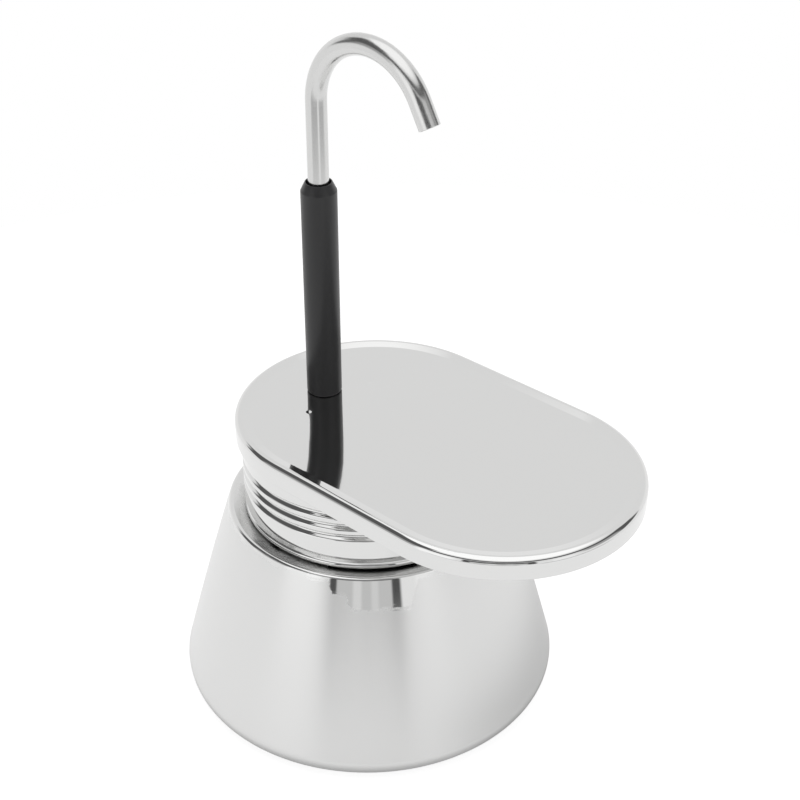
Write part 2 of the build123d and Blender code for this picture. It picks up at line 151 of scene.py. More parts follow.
DIMPLE_DEPTH = 0.07
FERRULE_HOLE = 2.65           # radius of the hole through platform and cap

# Spout, in millimetres
SPOUT_X = (sleeve_low.x + sleeve_high.x) / 2 / MM
SPOUT_Y = (sleeve_low.y + sleeve_high.y) / 2 / MM
TUBE_RADIUS = 2.13
TUBE_BORE = 1.63
TUBE_LIP = 0.12
TUBE_BOTTOM = tube_low.z / MM
TUBE_SIDES = 64
BEND_START = 131.55
BEND_RADIUS = 14.2
BEND_ANGLE = math.radians(151.2)
BEND_FLATTENING = 0.02
TIP_LENGTH = 5.1
MARK_BELOW_BEND = 0.5         # the bending tool's faint mark
MARK_HALF_WIDTH = 0.5
MARK_DEPTH = 0.006
SLEEVE_RADIUS = (sleeve_high.x - sleeve_low.x) / 2 / MM
SLEEVE_TOP = sleeve_high.z / MM
SLEEVE_TAPER_HEIGHT = 1.85
SLEEVE_TAPER_WIDTH = 0.93
SLEEVE_MOUTH_RADIUS = 2.55
SLEEVE_MOUTH_DEPTH = 1.4
SLEEVE_FOOT_BORE = 3.05
SLEEVE_FOOT_DEPTH = 0.85


# ---- Mesh building ------------------------------------------------------------------------

def rounded(corners):
    """Closed outline in metres through (x, y, rounding) corners in millimetres."""
    outline = []
    for index, (x, y, rounding) in enumerate(corners):
        here = Vector((x, y))
        if rounding <= 0:
            outline.append(here * MM)
            continue
        to_before = (Vector(corners[index - 1][:2]) - here).normalized()
        to_after = (Vector(corners[(index + 1) % len(corners)][:2]) - here).normalized()
        half = to_before.angle(to_after) / 2
        centre = here + (to_before + to_after).normalized() * rounding / math.sin(half)
        first = here + to_before * rounding / math.tan(half) - centre
        last = here + to_after * rounding / math.tan(half) - centre
        sweep = math.atan2(first.x * last.y - first.y * last.x, first.dot(last))
        steps = max(2, math.ceil(abs(sweep) / ARC_STEP))
        for step in range(steps + 1):
            turned = first.copy()
            turned.rotate(Matrix.Rotation(sweep * step / steps, 2))
            outline.append((centre + turned) * MM)
    return outline


def finer(outline, longest, low_radius, high_radius):
    """The outline with its upright runs between two radii, in mm, cut into short pieces."""
    points = []
    for here, after in zip(outline, outline[1:] + outline[:1]):
        upright = abs(here.x - after.x) < 1e-6 and low_radius <= here.x / MM <= high_radius
        pieces = max(1, math.ceil((after - here).length / longest)) if upright else 1
        points.extend(here.lerp(after, piece / pieces) for piece in range(pieces))
    return points


def bridge(mesh, first, second):
    """Faces between two rings of vertices, either of which may be a single vertex."""
    count = max(len(first), len(second))
    for index in range(count):
        after = (index + 1) % count
        if len(first) == 1 and len(second) == 1:
            return
        if len(first) == 1:
            mesh.faces.new((first[0], second[after], second[index]))
        elif len(second) == 1:
            mesh.faces.new((first[index], first[after], second[0]))
        else:
            mesh.faces.new((first[index], first[after], second[after], second[index]))


def finished(name, mesh, smooth_below=35):
    """Object from a bmesh: normals outward, smooth but for edges sharper than an angle."""
    bmesh.ops.remove_doubles(mesh, verts=mesh.verts, dist=1e-7)
    bmesh.ops.recalc_face_normals(mesh, faces=mesh.faces)
    data = bpy.data.meshes.new(name)
    mesh.to_mesh(data)
    mesh.free()
    data.shade_smooth()
    data.set_sharp_from_angle(angle=math.radians(smooth_below))
    piece = bpy.data.objects.new(name, data)
    bpy.context.scene.collection.objects.link(piece)
    return piece


def revolve(name, outline, shape=None, segments=SEGMENTS, place=None):
    """Solid of revolution of a closed (radius, height) outline. shape bends its surface."""
    mesh = bmesh.new()
    rings = []
    for radius, height in outline:
        if radius < TINY:
            rings.append([mesh.verts.new((0, 0, height))])
            continue
        ring = []
        for index in range(segments):
            turn = 2 * math.pi * index / segments
            r = shape(turn, radius, height) if shape else radius
            ring.append(mesh.verts.new((r * math.cos(turn), r * math.sin(turn), height)))
        rings.append(ring)
    for lower, upper in zip(rings, rings[1:] + rings[:1]):
        bridge(mesh, lower, upper)
    if place:
        bmesh.ops.transform(mesh, matrix=place, verts=mesh.verts)
    return finished(name, mesh)


def cut(piece, tool):
    """Cuts the tool's shape out of a piece, and removes the tool."""
    modifier = piece.modifiers.new("cut", "BOOLEAN")
    modifier.operation = "DIFFERENCE"
    modifier.solver = "EXACT"
    modifier.object = tool
    bpy.context.view_layer.update()
    evaluated = piece.evaluated_get(bpy.context.evaluated_depsgraph_get())
    cut_mesh = bpy.data.meshes.new_from_object(evaluated)
    piece.modifiers.clear()
    piece.data = cut_mesh
    bpy.data.objects.remove(tool)


def smoothstep(low, high, value):
    share = min(1.0, max(0.0, (value - low) / (high - low)))
    return share * share * (3 - 2 * share)


def thread_wave(turn, height, start, turns, half_width):
    """Height, from 0 to 1, of a rolled right-hand thread at a point of its wall, in mm."""
    advance = (turn - THREAD_START_TURN) % (2 * math.pi) / (2 * math.pi)
    best = 0.0
    for winding in range(math.ceil(turns) + 1):
        along = winding + advance
        if along > turns:
            break
        away = abs(height - start - along * PITCH)
        fade = smoothstep(0, THREAD_FADE_TURNS, along)
        fade *= smoothstep(0, THREAD_FADE_TURNS, turns - along)
        if away < half_width:
            best = max(best, fade * 0.5 * (1 + math.cos(math.pi * away / half_width)))
    return best


def thread_shape(start, turns, half_width, depth, low_radius, high_radius):
    """shape() for revolve(): moves the wall between two radii by a rolled thread's wave."""
    def shape(turn, radius, height):
        if not low_radius <= radius / MM <= high_radius:
            return radius
        return radius + depth * MM * thread_wave(turn, height / MM, start, turns, half_width)
    return shape


# ---- Materials ----------------------------------------------------------------------------

STEEL = (0.72, 0.72, 0.715)
POLISHED_ROUGHNESS = 0.06
LEDGE_ROUGHNESS = 0.15        # more than the polish

# The satin ends in a ragged border under the shoulder. On one side the polishing wheel ran over
# it in two overlapping strokes: left and right end across the side, and depth. Metres.
DIP_AZIMUTH = math.radians(45.5)
DIP_STROKES = ((-0.0088, 0.0086, 0.0028), (-0.0052, 0.0078, 0.0030))
SATIN_BORDER = (0.0438, 0.0446)
LEDGE_BORDER = (0.0288, 0.0293)

# A noise lies mostly between these two
LOW, HIGH = 0.3, 0.7


def new_material(name):
    material = bpy.data.materials.new(name)
    material.use_nodes = True
    tree = material.node_tree
    return material, tree, tree.nodes["Principled BSDF"]


def place_parts(tree, output="Object"):
    """X, Y and Z of a place, from one output of the texture coordinates."""
    coordinates = tree.nodes.new("ShaderNodeTexCoord")
    split = tree.nodes.new("ShaderNodeSeparateXYZ")
    tree.links.new(coordinates.outputs[output], split.inputs["Vector"])
    return [split.outputs[axis] for axis in "XYZ"]


def noise(tree, stretch, detail=3.0, roughness=0.55):
    """Noise over object coordinates multiplied by stretch, per metre."""
    coordinates = tree.nodes.new("ShaderNodeTexCoord")
    mapping = tree.nodes.new("ShaderNodeMapping")
    mapping.inputs["Scale"].default_value = stretch
    texture = tree.nodes.new("ShaderNodeTexNoise")
    texture.inputs["Scale"].default_value = 1.0
    texture.inputs["Detail"].default_value = detail
    texture.inputs["Roughness"].default_value = roughness
    tree.links.new(coordinates.outputs["Object"], mapping.inputs["Vector"])
    tree.links.new(mapping.outputs["Vector"], texture.inputs["Vector"])
    return texture.outputs["Fac"]


def ranged(tree, value, low, high, out_low, out_high):
    """A value's span from low to high spread over another span, clamped."""
    node = tree.nodes.new("ShaderNodeMapRange")
    node.inputs["From Min"].default_value = low
    node.inputs["From Max"].default_value = high
    node.inputs["To Min"].default_value = out_low
    node.inputs["To Max"].default_value = out_high
    tree.links.new(value, node.inputs["Value"])
    return node.outputs["Result"]


def arithmetic(tree, operation, first, second):
    node = tree.nodes.new("ShaderNodeMath")
    node.operation = operation
    for socket, value in zip(node.inputs, (first, second)):
        if isinstance(value, (int, float)):
            socket.default_value = value
        else:
            tree.links.new(value, socket)
    return node.outputs["Value"]


def along(tree, x, y, x_share, y_share):
    """Reach of a level place along the direction (x_share, y_share)."""
    return arithmetic(
        tree, "ADD",
        arithmetic(tree, "MULTIPLY", x, x_share),
        arithmetic(tree, "MULTIPLY", y, y_share),
    )


def from_axis(tree, x, y):
    """Distance of a place from the Z axis."""
    squares = arithmetic(
        tree, "ADD", arithmetic(tree, "MULTIPLY", x, x), arithmetic(tree, "MULTIPLY", y, y)
    )
    return arithmetic(tree, "SQRT", squares, 0)


def bump(tree, shader, height, distance):
    node = tree.nodes.new("ShaderNodeBump")
    node.inputs["Strength"].default_value = 1.0
    node.inputs["Distance"].default_value = distance
    tree.links.new(height, node.inputs["Height"])
    tree.links.new(node.outputs["Normal"], shader.inputs["Normal"])


def make_metal(shader, colour):
    shader.inputs["Metallic"].default_value = 1.0
    shader.inputs["Base Color"].default_value = (*colour, 1)


def brush_round(tree, shader):
    """Turns the shader's anisotropy so that it follows brushing about the Z axis."""
    tangent = tree.nodes.new("ShaderNodeTangent")
    tangent.direction_type = "RADIAL"
    tangent.axis = "Z"
    tree.links.new(tangent.outputs["Tangent"], shader.inputs["Tangent"])


def vary_roughness(tree, shader, pattern, low, high):
    tree.links.new(ranged(tree, pattern, LOW, HIGH, low, high), shader.inputs["Roughness"])


def polished_steel(name, roughness):
    """Mirror-polished sheet: faint polishing haze and a very slight waviness."""
    material, tree, shader = new_material(name)
    make_metal(shader, STEEL)
    haze = noise(tree, (60, 60, 60), detail=4)
    vary_roughness(tree, shader, haze, roughness * 0.7, roughness * 1.5)
    waves = noise(tree, (90, 90, 90), detail=1)
    bump(tree, shader, waves, 0.00002)
    return material


def brushed_steel(name, colour, roughness, stretch, anisotropy):
    """Satin metal with grinding lines along the axes that stretch leaves long."""
    material, tree, shader = new_material(name)
    make_metal(shader, colour)
    shader.inputs["Anisotropic"].default_value = anisotropy
    brush_round(tree, shader)
    lines = noise(tree, stretch, detail=5, roughness=0.7)
    vary_roughness(tree, shader, lines, roughness * 0.8, roughness * 1.25)
    bump(tree, shader, lines, 0.000004)
    return material


def boiler_steel():
    """Boiler: satin flank brushed round the axis, polished shoulder, duller ledge inside it."""
    material, tree, shader = new_material("boiler_steel")
    make_metal(shader, STEEL)
    shader.inputs["Anisotropic"].default_value = 0.6
    shader.inputs["Anisotropic Rotation"].default_value = 0.25
    brush_round(tree, shader)
    x, y, z = place_parts(tree)
    lines = noise(tree, (20, 20, 3000), detail=2, roughness=0.5)
    rags = noise(tree, (260, 260, 1600), detail=3)
    height = arithmetic(tree, "ADD", z, ranged(tree, rags, LOW, HIGH, -0.0007, 0.0009))
    sine, cosine = math.sin(DIP_AZIMUTH), math.cos(DIP_AZIMUTH)
    near_side = ranged(tree, along(tree, x, y, sine, -cosine), 0.0, 0.001, 0.0, 1.0)
    aside = along(tree, x, y, cosine, sine)
    for left, right, depth in DIP_STROKES:
        from_left = ranged(tree, aside, left - 0.0004, left + 0.0006, 0.0, depth)
        from_right = ranged(tree, aside, right - 0.0003, right + 0.0006, 1.0, 0.0)
        dip = arithmetic(tree, "MULTIPLY", from_left, from_right)
        height = arithmetic(tree, "ADD", height, arithmetic(tree, "MULTIPLY", dip, near_side))
    satin = ranged(tree, height, *SATIN_BORDER, 1.0, 0.0)
    satin_roughness = ranged(tree, lines, LOW, HIGH, 0.285, 0.305)
    spread = arithmetic(tree, "SUBTRACT", satin_roughness, POLISHED_ROUGHNESS)
    roughness = arithmetic(tree, "MULTIPLY", spread, satin)
    roughness = arithmetic(tree, "ADD", roughness, POLISHED_ROUGHNESS)
    ledge = ranged(tree, from_axis(tree, x, y), *LEDGE_BORDER, LEDGE_ROUGHNESS, 0.0)
    roughness = arithmetic(tree, "ADD", roughness, ledge)
    tree.links.new(roughness, shader.inputs["Roughness"])
    grooves = arithmetic(tree, "MULTIPLY", lines, satin)
    bump(tree, shader, grooves, 0.00000004)
    return material


def matt_plastic(name, colour, roughness):
    """Moulded heat-proof plastic with a fine grain."""
    material, tree, shader = new_material(name)
    shader.inputs["Base Color"].default_value = (*colour, 1)
    shader.inputs["Specular IOR Level"].default_value = 0.4
    grain = noise(tree, (1500, 1500, 1500), detail=4)
    cloud = noise(tree, (120, 120, 60), detail=2)
    vary_roughness(tree, shader, cloud, roughness * 0.9, roughness * 1.1)
    bump(tree, shader, grain, 0.00001)
    return material


def silicone(name, colour):
    """Milky seal rubber with faint clouds."""
    material, tree, shader = new_material(name)
    shader.inputs["Subsurface Weight"].default_value = 0.15
    shader.inputs["Subsurface Radius"].default_value = (0.002, 0.0015, 0.001)
    cloud = noise(tree, (200, 200, 200), detail=3)
    mix = tree.nodes.new("ShaderNodeMixRGB")
    mix.inputs["Color1"].default_value = (*colour, 1)
    mix.inputs["Color2"].default_value = (*[c * 0.9 for c in colour], 1)
    tree.links.new(cloud, mix.inputs["Fac"])
    tree.links.new(mix.outputs["Color"], shader.inputs["Base Color"])
    vary_roughness(tree, shader, cloud, 0.45, 0.6)
    bump(tree, shader, noise(tree, (900, 900, 900)), 0.00001)
    return material


# ---- Pieces ----------------------------------------------------------------------------------

def dress(piece, body, slot, material, *nodes):
    """Gives a piece its material and body, and hides the CAD nodes it stands for; slot is not
    used.
    """
    piece.data.materials.clear()
    piece.data.materials.append(material)
    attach(piece, body)
    if nodes:
        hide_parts(*nodes)
    return piece


def flank(height, inset=0.0):
    """Radius in mm of the flank, with its belly, at a height; inset goes into the sheet."""
    share = height / SHOULDER_HEIGHT
    straight = BASE_RADIUS + (SHOULDER_RADIUS - BASE_RADIUS) * share
    slope = math.atan2(BASE_RADIUS - SHOULDER_RADIUS, SHOULDER_HEIGHT)
    return straight + (4 * BELLY * share * (1 - share) - inset) / math.cos(slope)


def flank_corners(low, high, inset, count=24):
    heights = [low + (high - low) * index / count for index in range(count + 1)]
    return [(flank(height, inset), height, 0) for height in heights]


def make_shell(material):
    bore = NECK_RADIUS - NECK_SHEET
    fall = (SHOULDER_HEIGHT - LEDGE_ROOT) / (SHOULDER_RADIUS - NECK_RADIUS)
    root_inside = LEDGE_ROOT - SHEET * math.hypot(1, fall) - fall * NECK_SHEET
    ledge_inside = root_inside + fall * (flank(root_inside, SHEET) - bore)
    corners = flank_corners(WELD_HEIGHT, BELLY_TOP, 0)
    corners += [
        (flank(SHOULDER_HEIGHT), SHOULDER_HEIGHT, SHOULDER_ROUNDING),
        (NECK_RADIUS, LEDGE_ROOT, LEDGE_ROUNDING),
        (NECK_RADIUS, NECK_TOP, 0.15),
        (bore, NECK_TOP, 0.15),
        (bore, root_inside, 0.2),
        (flank(ledge_inside, SHEET), ledge_inside, 0.2),
    ]
    corners += flank_corners(WELD_HEIGHT, BELLY_TOP, SHEET)[::-1]
    wall = (NECK_RADIUS - 0.01, NECK_RADIUS + 0.01)
    shape = thread_shape(
        NECK_THREAD_START, NECK_THREAD_TURNS, NECK_THREAD_HALF_WIDTH, NECK_THREAD_DEPTH, *wall
    )
    piece = revolve("boiler_wall", finer(rounded(corners), NECK_STEP * MM, *wall), shape)
    return dress(piece, "boiler", "satin_steel", material, "boiler_shell")


def make_base(material):
    corners = [
        (0, 0, 0),
        (GROOVE_RADIUS - GROOVE_HALF_WIDTH, 0, 0.3),
        (GROOVE_RADIUS - GROOVE_FLOOR_HALF_WIDTH, GROOVE_DEPTH, 0.3),
        (GROOVE_RADIUS + GROOVE_FLOOR_HALF_WIDTH, GROOVE_DEPTH, 0.3),
        (GROOVE_RADIUS + GROOVE_HALF_WIDTH, 0, 0.3),
        (flank(0), 0, BASE_ROUNDING),
    ]
    corners += flank_corners(WELD_HEIGHT - PAN_TURNUP, WELD_HEIGHT, 0, 2)
    corners += flank_corners(WELD_HEIGHT - PAN_TURNUP, WELD_HEIGHT, SHEET, 2)[::-1]
    corners += [(flank(SHEET, SHEET), SHEET, BASE_ROUNDING - SHEET), (0, SHEET, 0)]
    piece = revolve("boiler_pan", rounded(corners))
    return dress(piece, "boiler", "satin_steel", material, "boiler_base")


def make_cap(material):
    inner = CAP_RADIUS - CAP_SHEET
    corners = [
        (0, CAP_TOP, 0),
        (CAP_RADIUS, CAP_TOP, CAP_ROUNDING),
        (CAP_RADIUS, CAP_BOTTOM + CAP_FOOT_HEIGHT, 0.25),
        (CAP_FOOT_RADIUS, CAP_BOTTOM + CAP_FOOT_HEIGHT - CAP_FOOT_TAPER, 0.3),
        (CAP_FOOT_RADIUS, CAP_BOTTOM + 2 * BEAD_RADIUS, 0.05),
    ]
    for degrees in range(54, -91, -6):
        turn = math.radians(degrees)
        out = BEAD_CENTRE + BEAD_RADIUS * math.cos(turn)
        if out > CAP_FOOT_BORE:
            corners.append((out, CAP_BOTTOM + BEAD_RADIUS + BEAD_RADIUS * math.sin(turn), 0))
    corners += [
        (CAP_FOOT_BORE, CAP_BOTTOM + 0.01, 0),
        (CAP_FOOT_BORE, CAP_BOTTOM + 2.9, 0.1),
        (inner, CAP_BOTTOM + 3.3, 0.1),
        (inner, CAP_TOP - CAP_SHEET, CAP_ROUNDING - CAP_SHEET),
        (0, CAP_TOP - CAP_SHEET, 0),
    ]
    wall = (inner - 0.01, CAP_RADIUS + 0.01)
    shape = thread_shape(
        CAP_THREAD_START, CAP_THREAD_TURNS, CAP_THREAD_HALF_WIDTH, CAP_THREAD_DEPTH, *wall
    )
    piece = revolve("cap_wall", finer(rounded(corners), CAP_STEP * MM, *wall), shape)
    below, above = CAP_TOP - 2, CAP_TOP + 2
    hole = [(0, below, 0), (FERRULE_HOLE, below, 0), (FERRULE_HOLE, above, 0), (0, above, 0)]
    place = Matrix.Translation((SPOUT_X * MM, SPOUT_Y * MM, 0))
    cut(piece, revolve("hole", rounded(hole), segments=64, place=place))
    return dress(piece, "head", "mirror_steel", material, "threaded_cap")


def pill_ring(mesh, inset, height, ends=128, sides=24):
    """Ring of vertices round the platform, set in from its edge; all in millimetres."""
    half_width = PLATFORM_HALF_WIDTH - inset
    places = []
    for index in range(ends):
        turn = math.pi / 2 + math.pi * index / ends
        places.append((PLATFORM_REAR + half_width * math.cos(turn), half_width * math.sin(turn)))
    for index in range(sides):
        x = PLATFORM_REAR + (PLATFORM_FRONT - PLATFORM_REAR) * index / sides
        places.append((x, -half_width))
    for index in range(ends):
        turn = -math.pi / 2 + math.pi * index / ends
        places.append((PLATFORM_FRONT + half_width * math.cos(turn), half_width * math.sin(turn)))
    for index in range(sides):
        x = PLATFORM_FRONT + (PLATFORM_REAR - PLATFORM_FRONT) * index / sides
        places.append((x, half_width))
    return [mesh.verts.new((x * MM, (PLATFORM_Y + y) * MM, height * MM)) for x, y in places]


def circle(mesh, x, y, radius, height, count=64):
    """Ring of vertices round an upright line; all in millimetres."""
    ring = []
    for index in range(count):
        turn = 2 * math.pi * index / count
        place = Vector((x + radius * math.cos(turn), y + radius * math.sin(turn), height))
        ring.append(mesh.verts.new(place * MM))
    return ring


def fill_flat(mesh, *loops):
    """Triangles over a level area bounded by its outer loop and the loops of its holes."""
    edges = []
    for loop in loops:
        for here, after in zip(loop, loop[1:] + loop[:1]):
            edges.append(mesh.edges.get((here, after)) or mesh.edges.new((here, after)))
    bmesh.ops.triangle_fill(mesh, use_beauty=True, edges=edges, normal=(0, 0, 1))


def make_platform(material):
    under = PANEL_TOP - PLATFORM_SHEET
    section = []
    for share in DISH_SHARES:
        inset = RIM_WIDTH + (PANEL_BORDER - RIM_WIDTH) * share
        section.append((inset, PANEL_TOP + DISH_DEPTH * (1 - share) ** 2, 0))
    section += [
        (RIM_WIDTH, PANEL_TOP + DISH_DEPTH, 0.9),
        (CREST_INSET, PLATFORM_TOP, 1.0),
        (0, PLATFORM_TOP, PLATFORM_ROUNDING),
        (0, PLATFORM_FOOT, 0.15),
        (PLATFORM_SHEET, PLATFORM_FOOT, 0.15),
        (PLATFORM_SHEET, PLATFORM_TOP - PLATFORM_SHEET, 0.7),
        (CREST_INSET - 0.1, PLATFORM_TOP - PLATFORM_SHEET, 0.6),
        (RIM_WIDTH - 0.1, under, 1.0),
        (PANEL_BORDER, under, 0),
    ]
    mesh = bmesh.new()
    rings = [pill_ring(mesh, inset / MM, height / MM) for inset, height in rounded(section)]
    for upper, lower in zip(rings, rings[1:]):
        bridge(mesh, upper, lower)
    spots = []
    for x, y in WELD_DIMPLES:
        loops = [
            circle(mesh, x, y, radius, PANEL_TOP - depth, 32) for radius, depth in DIMPLE_RINGS
        ]
        for outer, inner in zip(loops, loops[1:]):
            bridge(mesh, outer, inner)
        bottom = mesh.verts.new((x * MM, y * MM, (PANEL_TOP - DIMPLE_DEPTH) * MM))
        bridge(mesh, loops[-1], [bottom])
        spots.append(loops[0])
    seat = [
        circle(mesh, SPOUT_X, SPOUT_Y, SLEEVE_RADIUS + 0.05, PANEL_TOP),
        circle(mesh, SPOUT_X, SPOUT_Y, SLEEVE_RADIUS + 0.05, SLEEVE_SEAT),
        circle(mesh, SPOUT_X, SPOUT_Y, FERRULE_HOLE, SLEEVE_SEAT),
        circle(mesh, SPOUT_X, SPOUT_Y, FERRULE_HOLE, under),
    ]
    for upper, lower in zip(seat, seat[1:]):
        bridge(mesh, upper, lower)
    fill_flat(mesh, rings[0], seat[0], *spots)
    fill_flat(mesh, rings[-1], seat[-1])
    piece = finished("platform_tray", mesh)
    return dress(piece, "head", "mirror_steel", material, "cup_platform")


def spout_stations():
    """Reach, height and turn of stations along the spout's middle line, in mm and radians."""
    riser_steps, bend_steps, tip_steps = 40, 72, 8
    stations = []
    for index in range(riser_steps):
        height = TUBE_BOTTOM + (BEND_START - 1 - TUBE_BOTTOM) * index / riser_steps
        stations.append((0.0, height, 0.0))
    # closer together over the last millimetre, where the bending tool's mark is
    stations += [(0.0, BEND_START - 1 + 0.1 * index, 0.0) for index in range(11)]
    for index in range(1, bend_steps + 1):
        turn = BEND_ANGLE * index / bend_steps
        reach = BEND_RADIUS * (1 - math.cos(turn))
        stations.append((reach, BEND_START + BEND_RADIUS * math.sin(turn), turn))
    reach, height, turn = stations[-1]
    for index in range(1, tip_steps + 1):
        ahead = TIP_LENGTH * index / tip_steps
        stations.append((reach + ahead * math.sin(turn), height + ahead * math.cos(turn), turn))
    return stations


def spout_ring(mesh, station, radius, slide=0.0):
    """Ring of vertices round a station, moved along the tube by slide; all in millimetres."""
    reach, height, turn = station
    middle = Vector((SPOUT_X + reach, SPOUT_Y, height))
    ahead = Vector((math.sin(turn), 0, math.cos(turn)))
    outward = Vector((math.cos(turn), 0, -math.sin(turn)))
    sideways = Vector((0, 1, 0))
    squeeze = 1 - BEND_FLATTENING * math.sin(math.pi * min(1, turn / BEND_ANGLE))
    from_mark = abs(height - BEND_START + MARK_BELOW_BEND) if turn == 0 else 1
    radius -= MARK_DEPTH * smoothstep(0, 1, 1 - from_mark / MARK_HALF_WIDTH)
    ring = []
    for index in range(TUBE_SIDES):
        around = 2 * math.pi * index / TUBE_SIDES
        side = outward * squeeze * math.cos(around) + sideways * math.sin(around)
        ring.append(mesh.verts.new((middle + ahead * slide + side * radius) * MM))
    return ring


def make_tube(material):
    mesh = bmesh.new()
    stations = spout_stations()
    rings = [spout_ring(mesh, station, TUBE_RADIUS) for station in stations[:-1]]
    rings += [
        spout_ring(mesh, stations[-1], TUBE_RADIUS, -TUBE_LIP),
        spout_ring(mesh, stations[-1], TUBE_RADIUS - TUBE_LIP),
        spout_ring(mesh, stations[-1], TUBE_BORE + TUBE_LIP),
        spout_ring(mesh, stations[-1], TUBE_BORE, -TUBE_LIP),
    ]
    rings += [spout_ring(mesh, station, TUBE_BORE) for station in stations[-2::-1]]
    for lower, upper in zip(rings, rings[1:] + rings[:1]):
        bridge(mesh, lower, upper)
    piece = finished("swan_neck", mesh)
    return dress(piece, "head", "tube_steel", material, "spout_tube")


def make_sleeve(material):
    bore = TUBE_RADIUS + 0.05
    mouth = SLEEVE_TOP - SLEEVE_MOUTH_DEPTH
    foot = SLEEVE_SEAT + SLEEVE_FOOT_DEPTH
    corners = [
        (SLEEVE_FOOT_BORE, SLEEVE_SEAT, 0.05),
        (SLEEVE_RADIUS, SLEEVE_SEAT, 0.6),
        (SLEEVE_RADIUS, SLEEVE_TOP - SLEEVE_TAPER_HEIGHT, 0.5),
        (SLEEVE_RADIUS - SLEEVE_TAPER_WIDTH, SLEEVE_TOP, 0.07),
        (SLEEVE_MOUTH_RADIUS, SLEEVE_TOP, 0.07),
        (SLEEVE_MOUTH_RADIUS, mouth, 0.1),
        (bore, mouth, 0.05),
        (bore, foot, 0.05),
        (SLEEVE_FOOT_BORE, foot, 0.05),
    ]
    place = Matrix.Translation((SPOUT_X * MM, SPOUT_Y * MM, 0))
    piece = revolve("grip_sleeve", rounded(corners), segments=96, place=place)
    return dress(piece, "head", "black_sleeve", material, "handle_sleeve")


def make_spring(material):
    """Closing spring of the safety valve, built at rest; the real one shortens towards its outer
    end as it opens.
    """
    axis = Vector(valve_lift["axis"]).normalized()
    points = [vertex.co for vertex in frame["nodes"]["valve_spring"].data.vertices]
    reaches = [point.dot(axis) for point in points]
    inner_end, outer_end = min(reaches), max(reaches)
    middle = sum(points, Vector()) / len(points)
    middle -= axis * middle.dot(axis)
    across = axis.orthogonal().normalized()
    beside = axis.cross(across)
    wire = WIRE_RADIUS * MM
    steps = SPRING_TURNS * STEPS_PER_COIL
    mesh = bmesh.new()
    rings = []
    for step in range(steps + 1):
        turn = 2 * math.pi * SPRING_TURNS * step / steps
        outward = across * math.cos(turn) + beside * math.sin(turn)
        rise = inner_end + wire + (outer_end - inner_end - 2 * wire) * step / steps
        centre = middle + axis * rise + outward * COIL_RADIUS * MM
        sides = [2 * math.pi * index / WIRE_SIDES for index in range(WIRE_SIDES)]
        rings.append([
            mesh.verts.new(centre + (outward * math.cos(side) + axis * math.sin(side)) * wire)
            for side in sides
        ])
    for first, second in zip(rings, rings[1:]):
        bridge(mesh, first, second)
    mesh.faces.new(rings[0])
    mesh.faces.new(rings[-1])
    piece = finished("valve_coil", mesh)
    dress(piece, "boiler", "spring_steel", material, "valve_spring")
    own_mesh(piece)
    return piece


def dress_carried(material, *nodes):
    """Gives CAD nodes that stay as they are their material."""
    for node in nodes:
        slots = frame["nodes"][node].data.materials
        slots.clear()
        slots.append(material)


steel_boiler = boiler_steel()
steel_mirror = polished_steel("mirror_steel", 0.04)
steel_tube = brushed_steel("tube_steel", (0.65, 0.65, 0.645), 0.2, (900, 900, 25), 0.3)
black_grip = matt_plastic("black_grip", (0.024, 0.024, 0.025), 0.36)
steel_inner = brushed_steel("inner_steel", (0.70, 0.70, 0.69), 0.25, (30, 30, 1200), 0.2)
brass = brushed_steel("turned_brass", (0.78, 0.58, 0.30), 0.22, (400, 400, 400), 0.0)
rubber = silicone("seal_silicone", (0.80, 0.79, 0.76))

make_shell(steel_boiler)
make_base(steel_boiler)
make_cap(steel_mirror)
make_platform(steel_mirror)
make_tube(steel_tube)
make_sleeve(black_grip)
make_spring(steel_inner)
dress_carried(
    steel_inner, "funnel_cup", "funnel_stem", "funnel_sieve", "filter_plate", "spout_ferrule",
    "ferrule_nut",
)
dress_carried(brass, "valve_body", "valve_nut", "valve_poppet", "valve_retainer")
dress_carried(rubber, "gasket", "ferrule_seal", "valve_washer")


# ---- Studio ------------------------------------------------------------------------------------

CAMERA_AZIMUTH = math.radians(42.5)
CAMERA_ELEVATION = math.radians(32.07)
CAMERA_PLACE = (0.1942, -0.2016, 0.2438)
CAMERA_LENS = 71.17
SENSOR_WIDTH = 36

# Floor: its glow to the camera and in reflections, and how much painted shadow darkens the
# reflections close to the pot on the camera's right and where the pot stands
FLOOR_RADIUS = 0.26
FLOOR_DROP = 0.00005
FLOOR_GREY = 0.32
FLOOR_GLOW_SEEN = 0.84
FLOOR_GLOW_MIRRORED = 0.74
FLOOR_RIGHT_PAINTED_SHADOW = 0.34
FLOOR_CONTACT_PAINTED_SHADOW = 0.4

LAMP_POWER = 3.0
LAMP_SIZE = 1.6
LAMP_PLACE = (-0.2, 0.1, 1.5)

